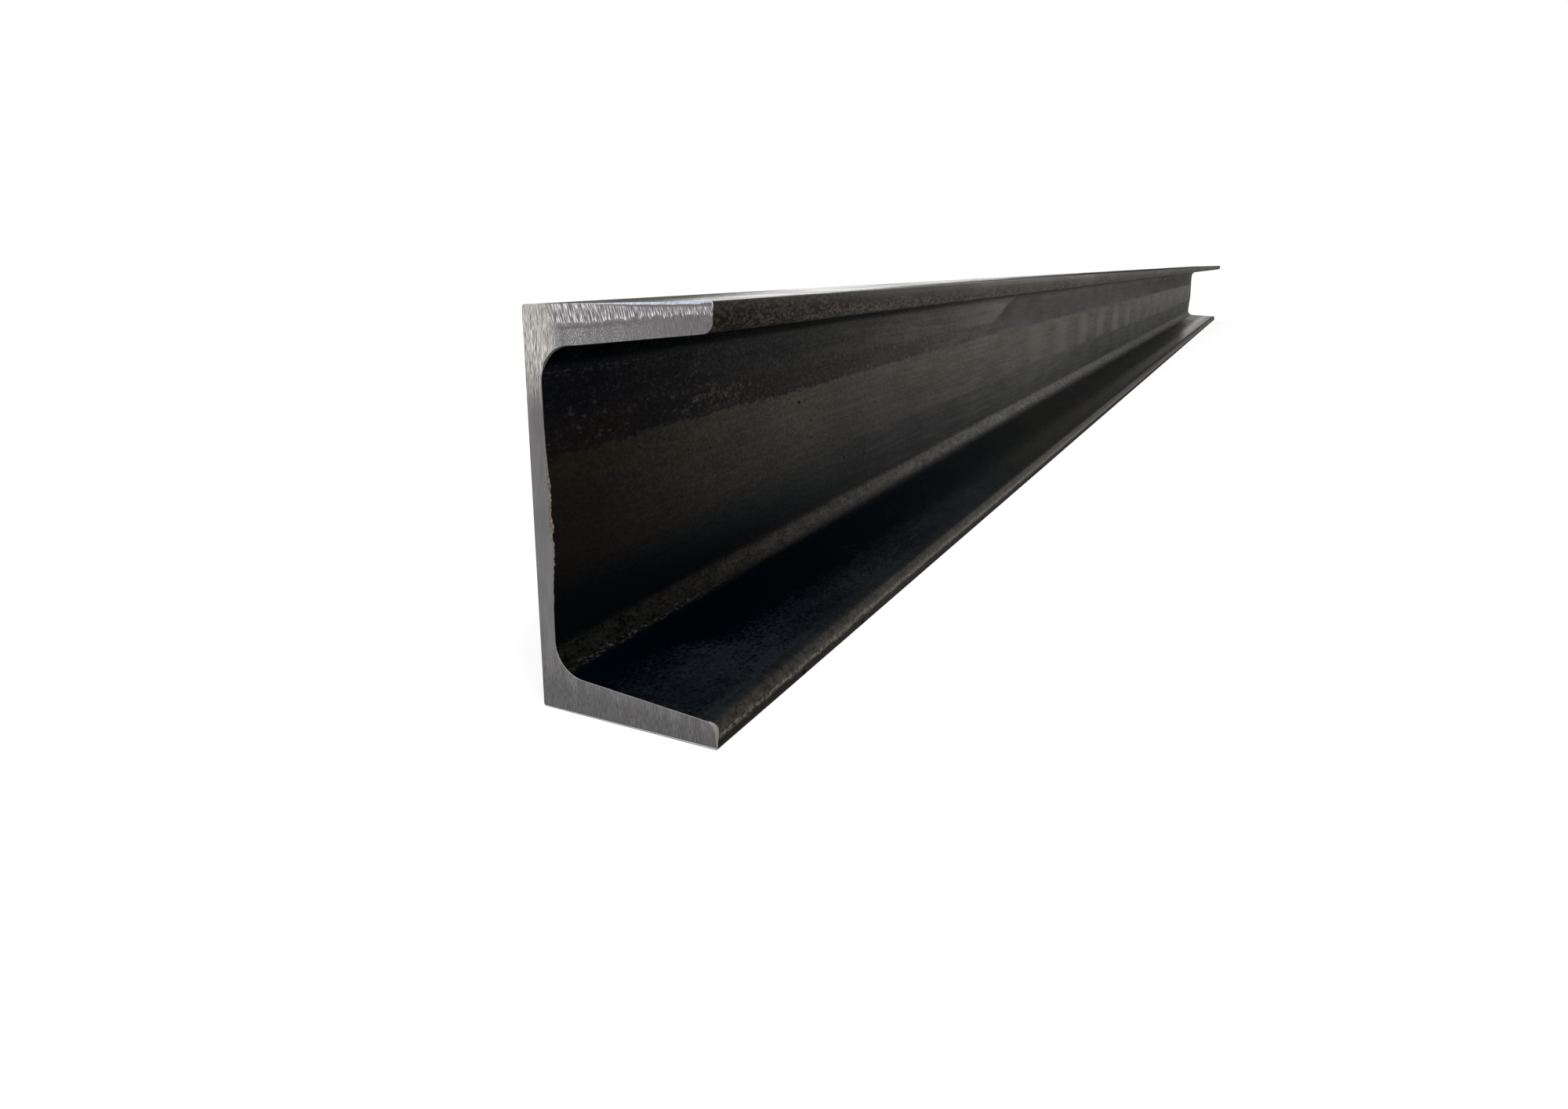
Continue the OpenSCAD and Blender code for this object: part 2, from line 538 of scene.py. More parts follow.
def top_skin(t, look):
    """The top: dull along its toe and by the near heel, with a smooth sheen between them that draws back
    towards the heel along the bar. The sheen is smooth scale whose paler colour is painted reflection, and
    its edges dissolve in grain."""
    top = t.span(t.up, 99.0, 99.6)
    heel_side = t.times(t.span(t.across, 34, 16), t.span(t.along, 120, 40))
    dull = t.plus(t.ramp(t.along, 0, 800, 0.51, 0.67), t.times(heel_side, 0.13),
                  t.ramp(t.streak, 0.3, 0.7, 0.05, -0.05))
    look = laid(t, look, top, rough=dull, gloss=t.ramp(t.along, 200, 700, 1.0, 0.12))
    uneven = t.plus(t.ramp(t.streak, 0.2, 0.8, -6, 6), t.ramp(t.grain, 0.3, 0.7, -7, 7),
                    t.ramp(t.fleck, 0.3, 0.7, -4, 4))
    reach = t.plus(10.0, t.times(t.math("EXPONENT", t.times(t.along, -1 / 300)), 50.0), uneven)
    heel = t.plus(t.ramp(t.along, 0, 150, 38, -4), uneven)
    sheen = t.times(top, t.span(t.minus(reach, t.across), -4, 6), t.span(t.minus(t.across, heel), -12, 12),
                    t.ramp(t.curve, 0.40, 0.56, 0.75, 1.0))
    # Painted reflection: the sheen's paler colour brightens what its smooth finish reflects.
    return laid(t, look, sheen, rough=t.ramp(t.along, 100, 1200, 0.06, 0.20), gloss=1.0,
                colour=rgb(0.110, 0.105, 0.088))


def web_skin(t, look, web):
    """The web's inner face: olive and mauve, with the bars, the lower part, the upper part and the pits laid
    over it. Painted shade keeps it darkest by the near end and lighter along the bar."""
    low = t.span(t.plus(t.up, t.times(t.cloud, 14.0)), 63, 53)
    mauve = t.either(low, t.times(t.span(t.curve, 0.46, 0.60), 0.7))
    olive = t.mix(mauve, rgb(0.0052, 0.0050, 0.0022), rgb(0.0058, 0.0043, 0.0040))
    # Painted shade: the web's colour is darkest by the near end and lightens along the bar.
    olive = t.tinted(olive, t.ramp(t.along, 50, 350, 1.0, 2.6))
    wear = t.plus(t.ramp(t.rub, 0.3, 0.7, 0.018, -0.018), t.ramp(t.streak, 0.3, 0.7, 0.015, -0.015),
                  t.ramp(t.cloud, 0.35, 0.65, 0.025, -0.025), t.ramp(t.grain, 0.3, 0.7, 0.055, -0.055))
    rough = t.plus(t.span(t.along, 0, 90, 0.585, 0.455), t.ramp(t.along, 30, 250, 0.0, 0.025),
                   t.ramp(t.along, 100, 1300, 0.0, 0.12), t.times(t.band(t.along, 130, 380, 60), 0.022),
                   t.times(t.band(t.along, 690, 1100, 60), 0.022), t.ramp(t.along, 1200, 1400, 0.0, -0.03),
                   t.ramp(t.up, 38, 65, 0.025, -0.035),
                   t.times(t.ramp(t.up, 52, 63), t.ramp(t.along, 140, 30), -0.03), wear)
    speckle = t.blend(t.ramp(t.along, 30, 250), t.ramp(t.grain, 0.34, 0.66, 0.62, 1.0), 1.0)
    look = laid(t, look, web, colour=olive, gloss=speckle, rough=rough)
    look = web_bars(t, look, web)
    look = web_below(t, look, web, rough, speckle)
    look = web_above(t, look, web, wear, speckle)
    return laid(t, look, web_pits(t, web), colour=rgb(0.0010, 0.0010, 0.0010), gloss=0.45, rough=0.8)


def web_bars(t, look, web):
    """Faint smoother bars across the middle of the web, at an even pitch."""
    first_bar, pitch = 562, 102.5
    bars = t.math("COSINE", t.times(t.minus(t.along, first_bar), 2 * math.pi / pitch))
    bars = t.times(t.span(bars, -0.4, 0.95), t.band(t.along, 530, 1400, 60), t.band(t.up, 39, 65, 2),
                   t.ramp(t.along, 850, 1250, 1.0, 0.45))
    return laid(t, look, t.times(bars, t.ramp(t.cloud, 0.35, 0.65, 0.6, 1.0), web), rough=0.475)


def web_below(t, look, web, rough, speckle):
    """The web's lower part: blue-black scale darkened by painted shade, its border soft at the near end
    and sharp further on.
    """
    from_end = t.span(t.along, 0, 210)
    step = t.blend(from_end, 7.0, 0.8)
    edge = t.blend(from_end, 34.6, 38.6)
    below = t.span(t.minus(edge, t.plus(t.up, t.times(t.cloud, 2.0))), t.times(step, -1.0), step)
    rough_below = t.plus(rough, t.times(t.band(t.along, 190, 430, 50), 0.028),
                         t.ramp(t.along, 520, 580, 0.0, -0.03), t.ramp(t.along, 600, 850, 0.0, 0.048),
                         t.ramp(t.along, 1200, 1400, 0.0, 0.025))
    # Painted shade: blue-black low on the web, with almost no gloss by the lower root near the end.
    return laid(t, look, t.times(web, below), rough=rough_below,
                colour=t.mix(from_end, rgb(0.0012, 0.0020, 0.0026), rgb(0.0026, 0.0040, 0.0062)),
                gloss=t.times(speckle, t.blend(from_end, t.ramp(t.up, 18, 37, 0.04, 1.0), 0.98)))


def web_above(t, look, web, wear, speckle):
    """The web's upper part: dark above a ragged border, with scab along that border, shade in the upper root
    and pale flakes."""
    ragged = t.plus(t.up, t.times(t.teeth, 3.6), t.times(t.fleck, 5.5), t.times(t.cloud, 4.0), -6.55)
    border = t.ramp(t.along, 40, 420, 64.0, 67.0)
    above = t.times(web, t.span(t.minus(ragged, border), -0.4, 0.6))
    patch_end = t.plus(t.times(t.up, 2.4), t.times(ragged, 1.2), 170.0)
    past = t.span(t.minus(t.along, patch_end), -5, 5)
    rough_past = t.plus(t.ramp(t.cloud, 0.35, 0.65, 0.50, 0.57), t.ramp(t.along, 550, 1100, 0.0, 0.07),
                        t.ramp(t.along, 1150, 1450, 0.0, 0.06))
    rough_before = t.plus(t.ramp(t.along, 15, 130, 0.685, 0.56), t.ramp(t.along, 130, 440, 0.0, -0.13), wear)
    look = laid(t, look, above, colour=rgb(0.0026, 0.0030, 0.0046),
                rough=t.blend(past, rough_before, rough_past),
                gloss=t.times(speckle, t.span(t.along, 0, 130, 0.9, 1.0)))
    scab = t.times(above, t.span(ragged, 75.0, 73.0), t.span(t.along, 620, 300), t.span(t.fleck, 0.34, 0.50),
                   t.ramp(t.cloud, 0.40, 0.52, 0.35, 1.0))
    scab_rough = t.plus(t.ramp(t.along, 0, 300, 0.66, 0.57), t.ramp(t.grain, 0.3, 0.7, 0.05, -0.05))
    look = laid(t, look, scab, colour=rgb(0.0052, 0.0040, 0.0040), rough=scab_rough)
    shade = t.times(web, t.span(t.plus(t.up, t.ramp(t.along, 80, 220, 0.0, -0.9)), 84.8, 86.8))
    look = laid(t, look, shade, colour=rgb(0.0006, 0.0014, 0.0018), gloss=t.ramp(t.along, 20, 420, 0.08, 1.0))
    return web_flakes(t, look, web, above)


def web_flakes(t, look, web, above):
    """Pale flakes on the web's upper part, thickest near the end, with two scuffs, a row of flecks under the
    upper root, and dust."""
    thick = t.times(t.band(t.along, 66, 104, 10), t.band(t.up, 67, 72.5, 2))
    flakes = t.times(t.span(t.plus(t.fleck, t.times(thick, 0.14)), 0.54, 0.66), t.span(t.grain, 0.46, 0.60))
    flakes = t.times(flakes, above, t.span(t.up, 81, 74))
    tiny = t.span(t.grain, 0.56, 0.66)
    scuff = t.times(web, t.either(t.spot(16, 72.5, 2.2), t.spot(33, 72.8, 1.6)), tiny)
    row = t.times(web, t.band(t.plus(t.up, t.times(t.fleck, 2.0)), 83.9, 85.4, 0.5),
                  t.span(t.grain, 0.50, 0.62), t.span(t.along, 130, 50))
    dust = t.times(above, t.span(t.grain, 0.62, 0.70), t.span(t.along, 260, 60))
    pale = t.either(t.times(flakes, t.plus(0.55, t.times(thick, 0.45))), t.times(scuff, 0.7),
                    t.times(row, 0.45), t.times(dust, 0.5))
    return laid(t, look, pale, colour=rgb(0.035, 0.033, 0.032), gloss=1.0, rough=0.6)


def web_pits(t, web):
    """1 in the few dark pits of the web."""
    pits = t.either(t.spot(148, 60, 0.9, 1.8), t.spot(193.6, 32.1, 1.4), t.spot(81, 54, 0.6, 1.3),
                    t.spot(84.6, 55.6, 0.4), t.spot(48.4, 35.4, 0.4), t.spot(159, 52, 0.6, 2.0))
    return t.times(web, t.span(t.times(pits, t.plus(t.fleck, 0.3)), 0.25, 0.55))


def root_skin(t, look, root):
    """The lower root: sandy scale, paler in a band of painted highlight on the fillet, that ends in a ragged
    row of pale flecks.
    """
    sand = t.plus(t.times(t.grain, 0.6), t.times(t.fleck, 0.4))
    colour = t.mix(t.ramp(sand, 0.38, 0.62), rgb(0.0008, 0.0008, 0.0008), rgb(0.0115, 0.0112, 0.0104))
    rough = t.plus(t.ramp(sand, 0.34, 0.66, 0.64, 0.38), t.ramp(t.along, 40, 150, 0.0, -0.08),
                   t.ramp(t.along, 200, 450, 0.0, -0.03), t.ramp(t.along, 450, 1100, 0.0, 0.155))
    line = t.plus(t.across, t.times(t.fleck, 3.0), -1.5, t.ramp(t.along, 110, 700, 0.0, -2.2))
    # Painted highlight: the paler sandy band stands partly for light falling on the fillet.
    sandy = t.times(root, t.span(t.up, 18.0, 15.6), t.span(line, 9.4, 8.0))
    look = laid(t, look, sandy, colour=colour, gloss=t.span(t.along, 0, 130, 0.22, 1.0), rough=rough)
    flecks = t.times(root, t.band(line, 7.5, 8.5, 0.3), t.span(t.grain, 0.50, 0.62))
    flecks = t.times(flecks, t.span(t.cloud, 0.34, 0.46), t.ramp(t.along, 30, 90, 1.0, 0.2))
    return laid(t, look, flecks, colour=rgb(0.056, 0.054, 0.050), gloss=1.0, rough=0.55)


def flange_skin(t, look, flange):
    """The flanges' inner faces and the lower root's edge: blue-black by the root in painted shade, dusty and
    rubbed towards the toe, where the paler dust is partly painted reflection, with specks and hair
    scratches near the end."""
    rough = t.plus(t.ramp(t.cloud, 0.35, 0.65, 0.54, 0.47), t.ramp(t.along, 100, 500, 0.0, -0.12))
    # Painted shade: blue-black by the root, with little gloss near the end.
    gloss = t.ramp(t.along, 30, 450, 0.20, 1.0)
    look = laid(t, look, flange, colour=rgb(0.0002, 0.0015, 0.0032), gloss=gloss, rough=rough)
    start = t.plus(t.span(t.along, 30, 52, 21.0, 31.5), t.times(t.cloud, 12.0), t.times(t.fleck, 5.0), -8.5)
    rubbed = t.times(flange, t.span(t.minus(t.across, start), -7.0, 8.0))
    look = laid(t, look, rubbed, gloss=t.plus(gloss, 0.10),
                rough=t.plus(rough, t.ramp(t.along, 50, 350, 0.02, -0.24)))
    # Dust and painted reflection: paler blue-grey towards the toe.
    dusty = t.plus(t.times(t.grain, 0.62), t.times(t.fleck, 0.22), t.times(t.cloud, 0.16))
    dust = t.times(t.ramp(t.plus(dusty, t.times(rubbed, 0.17)), 0.55, 0.73), t.ramp(rubbed, 0.02, 0.30),
                   t.ramp(t.along, 12, 50, 0.35, 1.0), t.ramp(t.curve, 0.36, 0.58, 0.55, 1.1))
    look = laid(t, look, dust, colour=rgb(0.0215, 0.0270, 0.0335))
    # Dust and painted reflection: paler grey towards the toe, greyest far along the bar.
    toe_side = t.times(flange, t.span(t.across, 33, 42), t.ramp(t.along, 60, 700))
    toe_grey = t.mix(t.ramp(dusty, 0.40, 0.62), rgb(0.020, 0.020, 0.020), rgb(0.085, 0.084, 0.080))
    look = laid(t, look, t.times(toe_side, 0.6), colour=toe_grey, gloss=0.55)
    far_side = t.times(flange, t.span(t.across, 31, 40), t.ramp(t.along, 600, 1100, 0.0, 0.75))
    look = laid(t, look, far_side, colour=rgb(0.14, 0.14, 0.135), gloss=0.3)
    worn_edge = t.times(flange, t.span(t.across, 43.0, 46.0), t.ramp(dusty, 0.38, 0.58, 0.2, 0.9))
    look = laid(t, look, worn_edge, colour=rgb(0.024, 0.027, 0.030))
    near_part = t.ramp(t.along, 150, 350, 1.0, 0.0)
    specks = t.times(rubbed, t.span(t.grain, 0.58, 0.72), t.span(t.fleck, 0.44, 0.58), near_part)
    look = laid(t, look, specks, colour=rgb(0.034, 0.037, 0.040), gloss=0.7, rough=0.58)
    hair = t.either(t.span(t.math("ABSOLUTE", t.minus(t.curve, 0.5)), 0.006, 0.001),
                    t.span(t.math("ABSOLUTE", t.minus(t.rub, 0.5)), 0.010, 0.002))
    hair = t.times(flange, hair, t.span(t.fleck, 0.46, 0.56), t.span(t.across, 18, 30),
                   t.span(t.cloud, 0.46, 0.54), near_part, 0.8)
    return laid(t, look, hair, colour=rgb(0.026, 0.028, 0.029), gloss=0.9, rough=0.55)


def toe_skin(t, look, toe):
    """The toes: brown scale, with pale flecks and a paler arris on the upper one, worn and partly painted
    highlight. The lower one's look is laid over it."""
    rough = t.plus(t.span(t.along, 0, 110, 0.73, 0.585), t.ramp(t.along, 0, 35, 0.05, 0.0),
                   t.times(t.ramp(t.up, 97.0, 95.0), t.ramp(t.along, 100, 420), t.ramp(t.up, 40, 60), 0.05),
                   t.ramp(t.cloud, 0.35, 0.65, 0.04, -0.04), t.ramp(t.up, 95, 99, 0.03, -0.12),
                   t.ramp(t.along, 350, 900, 0.0, 0.09))
    brown = t.mix(t.span(t.grain, 0.35, 0.65), rgb(0.0042, 0.0022, 0.0016), rgb(0.0104, 0.0068, 0.0052))
    look = laid(t, look, toe, colour=brown, gloss=1.0, rough=rough)
    fleck = t.plus(t.times(t.fleck, 0.35), t.times(t.grain, 0.65), t.times(t.span(t.up, 98.4, 95.0), 0.02))
    flecks = t.times(toe, t.span(fleck, 0.47, 0.61), t.span(t.up, 50, 60), t.ramp(t.along, 0, 70, 0.5, 1.0))
    look = laid(t, look, flecks, colour=rgb(0.040, 0.0355, 0.0325), rough=0.56)
    # Wear and painted highlight: the upper arris is paler where it catches the light.
    arris = t.times(toe, t.span(t.up, 97.6, 99.4), t.ramp(t.streak, 0.3, 0.7, 0.5, 1.0),
                    t.ramp(t.grain, 0.36, 0.60, 0.35, 1.0))
    arris_rough = t.plus(rough, t.times(t.band(t.along, 190, 520, 80), -0.12),
                         t.ramp(t.along, 400, 900, 0.0, 0.06))
    look = laid(t, look, arris, colour=rgb(0.042, 0.041, 0.036), rough=arris_rough)
    return lower_toe_skin(t, look, t.times(toe, t.span(t.up, 50, 40)))


def lower_toe_skin(t, look, lower):
    """The lower toe: a greyed side with a chalky line, a dusty rim above it and a dull foot below, with two
    nicks and a spot of rust."""
    brush = t.plus(t.times(t.teeth, 0.5), t.times(t.grain, 0.5))
    greyed = t.mix(t.ramp(brush, 0.36, 0.64), rgb(0.010, 0.0092, 0.0080), rgb(0.042, 0.0395, 0.0345))
    side = t.times(lower, t.span(t.up, 3.9, 4.6), t.span(t.up, 6.95, 6.45))
    side_rough = t.plus(t.ramp(brush, 0.3, 0.7, 0.60, 0.46), t.ramp(t.along, 300, 900, 0.0, 0.08))
    look = laid(t, look, side, colour=greyed, rough=side_rough)
    rim = t.times(lower, t.span(t.up, 6.36, 6.48))
    dusty = t.mix(t.ramp(brush, 0.36, 0.64), rgb(0.010, 0.0120, 0.0145), rgb(0.026, 0.0290, 0.0320))
    look = laid(t, look, rim, colour=dusty, gloss=t.ramp(t.along, 60, 180, 0.34, 0.50), rough=0.52)
    wander = t.plus(t.up, t.times(t.fleck, 2.4), -1.2, t.ramp(t.along, 20, 100, 0.35, -0.05))
    chalk = t.times(lower, t.band(wander, 3.0, 4.3, 0.6), t.ramp(t.grain, 0.33, 0.58))
    look = laid(t, look, chalk, colour=rgb(0.124, 0.116, 0.097), rough=0.58)
    foot = t.times(lower, t.ramp(t.up, 3.4, 0.7), t.ramp(t.along, 30, 250, 0.55, 1.0))
    look = laid(t, look, foot, colour=rgb(0.026, 0.024, 0.020), gloss=0.22, rough=0.8)
    nicks = t.times(lower, t.either(t.spot(49, 0.6, 1.6), t.spot(94, 0.6, 1.6)))
    look = laid(t, look, nicks, colour=rgb(0.002, 0.002, 0.002), gloss=0.2)
    rust = t.times(lower, t.spot(114, 5.6, 1.3))
    return laid(t, look, rust, colour=rgb(0.10, 0.045, 0.016), rough=0.65)


def greyed_skin(t, look, web, flange):
    """The inner faces turn a little greyer away from the near end, in streaks: the web sooner, and the
    flanges with a blue tint at first. The darker near end is painted shade."""
    # Painted shade: the grey is held back by the near end, and longer low on the web.
    clear = t.either(t.span(t.up, 20, 38), t.ramp(t.along, 100, 260))
    on_web = t.times(web, clear, t.ramp(t.along, 20, 450))
    on_flange = t.times(flange, t.ramp(t.along, 120, 700))
    inner = t.plus(on_web, on_flange)
    worn = t.times(t.ramp(t.streak, 0.3, 0.7, 0.55, 1.45), t.ramp(t.fleck, 0.35, 0.65, 0.7, 1.3))
    neutral = rgb(0.0205, 0.0205, 0.0195)
    blue = t.mix(t.ramp(t.along, 250, 900), rgb(0.0105, 0.0200, 0.0285), neutral)
    tint = t.mix(flange, neutral, blue)
    grey = t.tinted(tint, t.times(worn, inner))
    colour = t.add("ShaderNodeVectorMath", {0: look["colour"], 1: grey}, operation="ADD").outputs[0]
    return dict(look, colour=colour, rough=t.plus(look["rough"], t.times(inner, 0.045)))


def mill_scale():
    """Blue-black scale of the hot-rolled skin."""
    material = bpy.data.materials.new("mill_scale")
    t = Tree(material)
    t.measure()
    skin_fields(t)
    web, root, flange, toe = (t.attribute(zone) for zone in ZONES)
    upper_root, lower_root = t.times(root, t.span(t.up, 40, 60)), t.times(root, t.span(t.up, 60, 40))
    look = web_skin(t, outside_skin(t), t.plus(web, upper_root, t.times(lower_root, t.span(t.up, 15, 17))))
    look = flange_skin(t, look, t.plus(flange, t.times(lower_root, t.span(t.up, 17, 15))))
    look = root_skin(t, look, lower_root)
    sandy_root = t.times(root, t.span(t.up, 9.8, 11.5))
    look = greyed_skin(t, look, t.plus(web, sandy_root), t.plus(flange, t.minus(root, sandy_root)))
    look = toe_skin(t, look, toe)
    sandy = t.plus(0.012, t.times(root, 0.035), t.times(toe, 0.02))
    height = t.plus(t.times(t.grain, sandy), t.times(t.fleck, 0.03), t.times(web_pits(t, web), -0.25))
    height = t.times(height, t.span(t.up, 99.0, 99.6, 1.0, 0.3))
    bump = t.add("ShaderNodeBump", {"Strength": 1.0, "Distance": MM, "Height": height})
    shader = t.add("ShaderNodeBsdfPrincipled", {
        "Base Color": look["colour"], "Metallic": look["gloss"], "Roughness": look["rough"],
        "Normal": bump.outputs[0], "Specular IOR Level": 0.0, "Specular Tint": rgb(0.83, 0.815, 0.785)})
    t.add("ShaderNodeOutputMaterial", {"Surface": shader.outputs[0]})
    return material


# The sawn ends

def sawn_tone(t):
    """How bright the bare steel is over the section: plain web, lined corner, torn top and dull bottom,
    with painted glints on the upper part and a painted shadow under the torn edge.
    """
    lines = t.noise((9, 0.21, 6), 2, 61)
    short = t.noise((9, 0.20, 1.7), 2, 62)
    broad = t.noise((9, 2.2, 14), 1, 63)
    stroke = t.noise((9, 0.30, 2.6), 2, 64, lean=0.25)
    wave = t.noise((9, 2.1, 300), 1, 65)
    dots = t.noise((9, 0.26, 0.40), 2, 66)
    tone = t.times(0.150, t.ramp(lines, 0.25, 0.75, 0.84, 1.16), t.ramp(broad, 0.3, 0.7, 0.92, 1.08))

    inner_side = t.span(t.plus(t.up, t.times(t.across, 0.08)), 6.5, 10.5)
    smear = t.times(inner_side, t.ramp(broad, 0.35, 0.62, 0.3, 1.3))
    dull = t.times(t.blend(smear, 0.116, 0.150), t.ramp(short, 0.26, 0.60, 0.55, 1.12),
                   t.ramp(lines, 0.28, 0.72, 0.86, 1.14), t.ramp(broad, 0.3, 0.7, 0.92, 1.08))
    tone = t.blend(t.span(t.up, 18, 9), tone, dull)

    # Painted glints: bright dots on the upper part.
    bright = t.times(t.span(dots, 0.42, 0.74), t.span(t.across, 50, 8), t.ramp(broad, 0.32, 0.6, 0.35, 1.0))
    plain = t.plus(t.times(0.150, t.ramp(short, 0.28, 0.72, 0.66, 1.34)), t.times(bright, 0.36))
    tone = t.blend(t.span(t.up, 80, 90), tone, plain)

    corner = t.times(t.span(t.plus(t.up, t.times(broad, 8.0)), 78, 94), t.span(t.across, 12, 5))
    # Saw lines in the corner, brightened by painted glints.
    lined = t.plus(t.ramp(lines, 0.36, 0.64, 0.02, 0.42), t.ramp(short, 0.36, 0.66, 0.01, 0.40))
    tone = t.blend(corner, tone, lined)

    scallop = t.math("ABSOLUTE", t.math("SINE", t.plus(t.times(t.across, 0.9), t.times(wave, 5.0))))
    edge = t.plus(t.span(t.across, 8, 46, 95.2, 96.3), t.times(scallop, t.span(t.across, 14, 36, 0.2, 0.8)),
                  t.times(wave, 0.6))
    over = t.minus(t.up, edge)
    shade = t.times(t.band(over, -1.2, -0.5, 0.35), t.span(t.across, 6, 12), t.span(t.across, 40, 28))
    tone = t.blend(t.times(shade, 0.8), tone, t.times(0.128, t.ramp(short, 0.25, 0.75, 0.85, 1.15)))
    torn = t.times(t.span(over, -0.15, 0.25), t.span(t.across, 5, 11))
    # Painted highlights at the lower ends of the torn strokes.
    drip_highlight = t.times(t.band(over, 0.1, 0.7, 0.35), t.span(stroke, 0.48, 0.62),
                   t.span(t.across, 14, 32, 0.3, 1.0))
    # The torn strokes, partly painted glints where they face the light.
    ripped = t.plus(t.ramp(stroke, 0.30, 0.46, 0.09, 0.20), t.times(t.span(stroke, 0.48, 0.66), 0.44),
                    t.times(drip_highlight, 0.34), t.times(t.span(stroke, 0.50, 0.60), t.span(t.across, 32, 10), 0.16))
    tone = t.blend(torn, tone, ripped)
    strip_at = t.span(t.across, 10, 38, 100.2, 98.9)
    strip = t.span(t.minus(t.up, strip_at), -0.25, 0.25)
    tone = t.blend(strip, tone, t.times(0.165, t.ramp(short, 0.25, 0.75, 0.86, 1.14)))

    foot = t.minus(t.up, t.ramp(t.across, 0, 45, 0.42, 0.60))
    tone = t.blend(t.band(foot, 0.02, 0.14, 0.06), tone, 0.05)
    tone = t.blend(t.span(foot, 0.04, -0.04), tone, t.ramp(short, 0.3, 0.7, 0.30, 0.42))
    height = t.plus(t.times(stroke, t.plus(0.01, t.times(torn, 0.08))), t.times(lines, 0.015))
    return tone, corner, height, short


def sawn_steel():
    """Bare grey steel of the sawn ends, with bright broken edges, the top one a blue-white painted
    reflection, and a brown burr.
    """
    material = bpy.data.materials.new("sawn_steel")
    t = Tree(material)
    t.measure()
    tone, corner, height, short = sawn_tone(t)
    broken = t.span(t.attribute("broken"), 0.2, 0.6)
    tint = t.mix(corner, rgb(1.015, 0.985, 0.985), rgb(1.03, 0.985, 0.94))
    look = {
        "colour": t.tinted(tint, tone),
        "rough": t.ramp(tone, 0.10, 0.60, 0.46, 0.34),
    }
    rim = t.mix(t.span(t.up, 22, 14), rgb(0.085, 0.083, 0.080), rgb(0.27, 0.265, 0.255))
    rim = t.mix(t.span(t.up, 0.7, 0.4), rim, rgb(0.36, 0.36, 0.37))
    look = laid(t, look, t.times(broken, t.span(t.up, 98.5, 98.0)), colour=rim, rough=0.7)
    # Painted reflection: the top broken edge is blue-white as if it caught a pale sky.
    top = t.times(broken, t.span(t.up, 98.5, 99.2), t.span(t.across, 8, 30))
    sheen = t.mix(t.span(short, 0.36, 0.62), rgb(0.36, 0.42, 0.53), rgb(0.70, 0.77, 0.90))
    look = laid(t, look, top, colour=sheen, rough=0.35)
    facet = t.times(broken, t.span(t.across, 47.9, 48.5), t.band(t.up, 1.8, 8.5, 0.5))
    look = laid(t, look, facet, colour=rgb(0.20, 0.195, 0.18), rough=0.6)
    chip = t.noise((9, 1.1, 0.9), 2, 67)
    lip = t.times(t.span(t.across, 4.5, 5.0), t.span(t.across, 7.5, 6.5), t.band(t.up, 45, 63, 3))
    tan = t.mix(t.span(chip, 0.44, 0.60), rgb(0.110, 0.092, 0.078), rgb(0.21, 0.18, 0.15))
    look = laid(t, look, t.times(lip, t.span(chip, 0.36, 0.46)), colour=tan, rough=0.6)
    bump = t.add("ShaderNodeBump", {"Strength": 1.0, "Distance": MM, "Height": height})
    shader = t.add("ShaderNodeBsdfPrincipled", {
        "Base Color": look["colour"], "Metallic": 1.0, "Roughness": look["rough"], "Normal": bump.outputs[0]})
    t.add("ShaderNodeOutputMaterial", {"Surface": shader.outputs[0]})
    return material


def seen_rays(t):
    """1 for rays from the camera, a reflection or through glass."""
    path = t.add("ShaderNodeLightPath").outputs
    return t.either(path["Is Camera Ray"], path["Is Glossy Ray"], path["Is Transmission Ray"])


def pale_floor():
    """Plain pale studio floor: white where it is seen, shaded softly by the bar."""
    material = bpy.data.materials.new("pale_floor")
    t = Tree(material)
    t.measure()
    tone = t.mix(t.noise((500, 500, 500), 2, 71), rgb(0.60, 0.60, 0.60), rgb(0.62, 0.62, 0.62))
    shader = t.add("ShaderNodeBsdfPrincipled", {
        "Base Color": tone, "Roughness": 0.9, "Specular IOR Level": 0.0,
        "Emission Color": rgb(1, 1, 1), "Emission Strength": t.times(seen_rays(t), FLOOR_GLOW)})
    t.add("ShaderNodeOutputMaterial", {"Surface": shader.outputs[0]})
    return material


# Scene

def add_channel():
    """The bar, on the part's only node."""
    obj = bpy.data.objects.new("channel_surface", channel_mesh())
    bpy.context.scene.collection.objects.link(obj)
    obj.data.materials.append(mill_scale())
    obj.data.materials.append(sawn_steel())
    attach(obj, "root")
    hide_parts("channel")


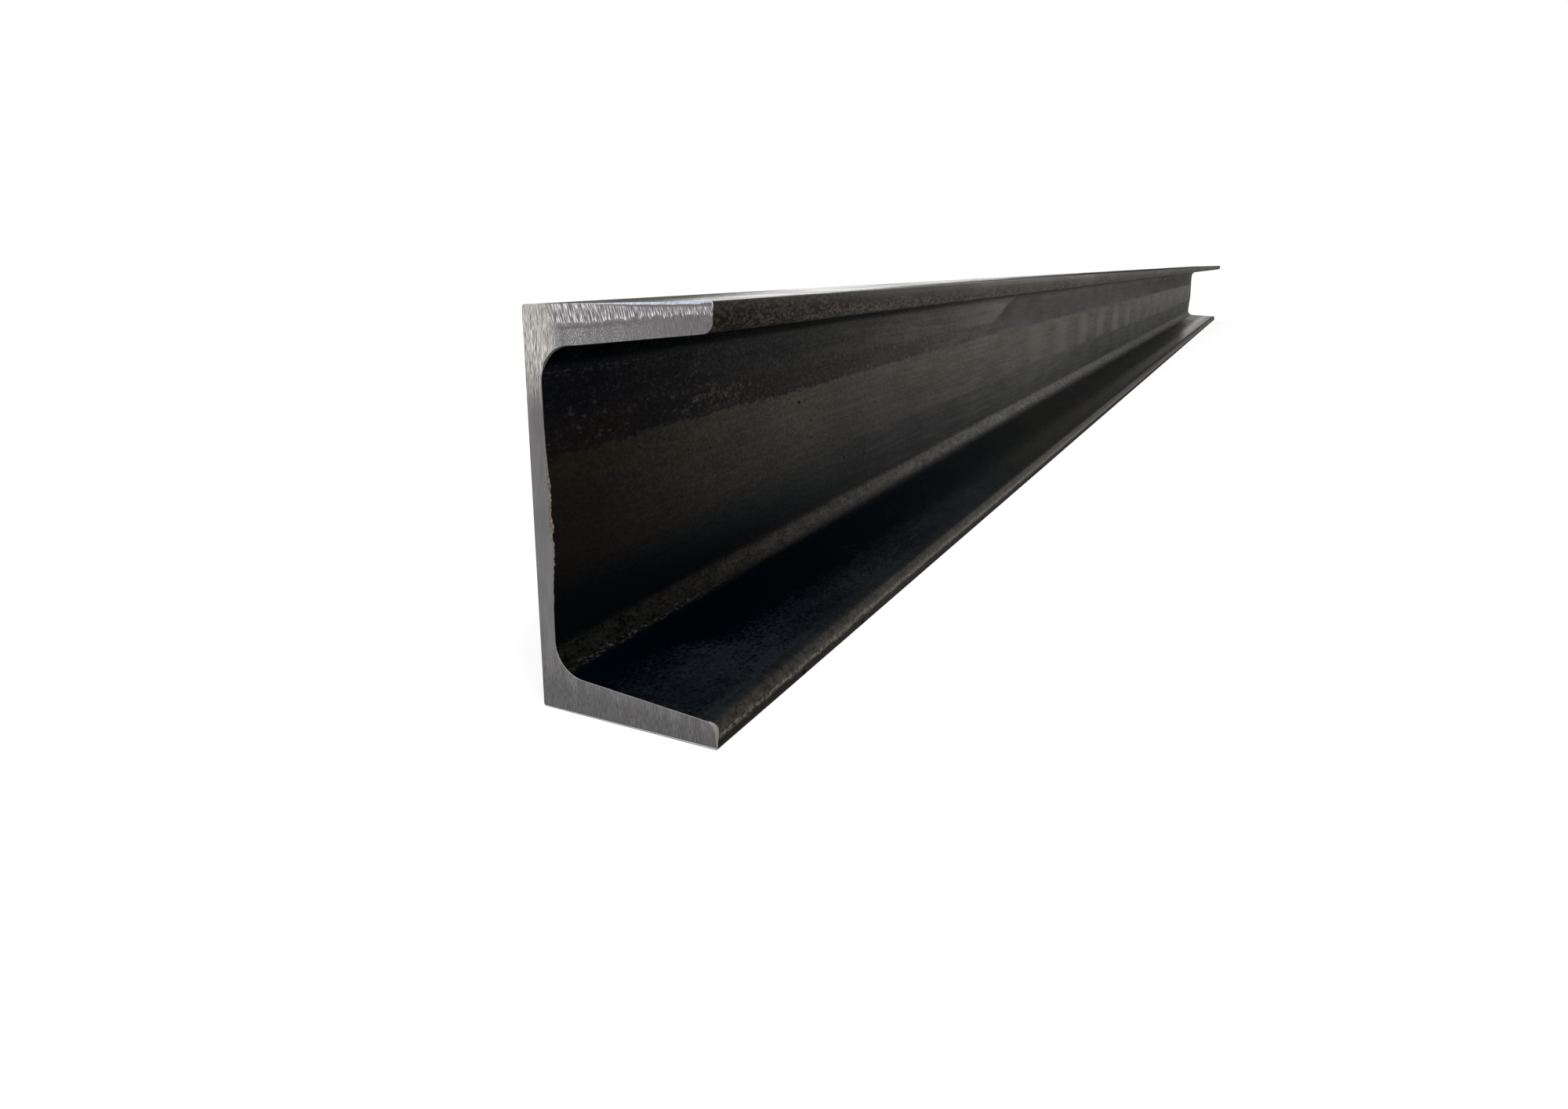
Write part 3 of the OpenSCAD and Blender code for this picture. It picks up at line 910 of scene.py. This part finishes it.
def add_floor():
    """A wide square floor under the bar."""
    mesh = bpy.data.meshes.new("floor")
    corners = [(x * FLOOR_HALF, y * FLOOR_HALF, 0) for x, y in ((-1, -1), (1, -1), (1, 1), (-1, 1))]
    mesh.from_pydata(corners, [], [(0, 1, 2, 3)])
    mesh.materials.append(pale_floor())
    obj = bpy.data.objects.new("floor", mesh)
    bpy.context.scene.collection.objects.link(obj)


def add_world():
    """White where the camera or a reflection sees it, a softer fill elsewhere."""
    world = bpy.data.worlds.new("studio")
    bpy.context.scene.world = world
    t = Tree(world)
    strength = t.blend(seen_rays(t), SKY_FILL, 1.0)
    back = t.add("ShaderNodeBackground", {"Color": rgb(1, 1, 1), "Strength": strength})
    t.add("ShaderNodeOutputWorld", {"Surface": back.outputs[0]})


def add_light(name, place, target, size, power):
    """A rectangular lamp turned to its target."""
    light = bpy.data.lights.new(name, "AREA")
    light.shape, light.size, light.size_y, light.energy = "RECTANGLE", size[0], size[1], power
    obj = bpy.data.objects.new(name, light)
    obj.location = place
    obj.rotation_mode = "QUATERNION"
    obj.rotation_quaternion = (Vector(target) - Vector(place)).to_track_quat("-Z", "Y")
    bpy.context.scene.collection.objects.link(obj)


def add_camera():
    """The photograph's camera."""
    data = bpy.data.cameras.new("camera")
    data.sensor_fit, data.sensor_width = "HORIZONTAL", SENSOR_MM
    data.lens = data.sensor_width * FOCAL_PX / PHOTO_W
    data.shift_x = (PHOTO_W / 2 - CENTRE_PX[0]) / PHOTO_W
    data.shift_y = (CENTRE_PX[1] - PHOTO_H / 2) / PHOTO_W
    data.clip_start, data.clip_end = CLIP_NEAR, CLIP_FAR
    obj = bpy.data.objects.new("camera", data)
    right, up, back = Vector(CAMERA_RIGHT), -Vector(CAMERA_DOWN), -Vector(CAMERA_AHEAD)
    turn = Matrix((right, up, back)).transposed().to_quaternion().normalized()
    obj.rotation_mode = "QUATERNION"
    obj.rotation_quaternion = turn
    obj.location = CAMERA_AT
    bpy.context.scene.collection.objects.link(obj)
    bpy.context.scene.camera = obj


add_camera()
add_world()
add_light("key", KEY_AT, KEY_AIM, KEY_SIZE, KEY_POWER)
add_floor()
add_channel()
bpy.context.scene.view_settings.view_transform = "Standard"
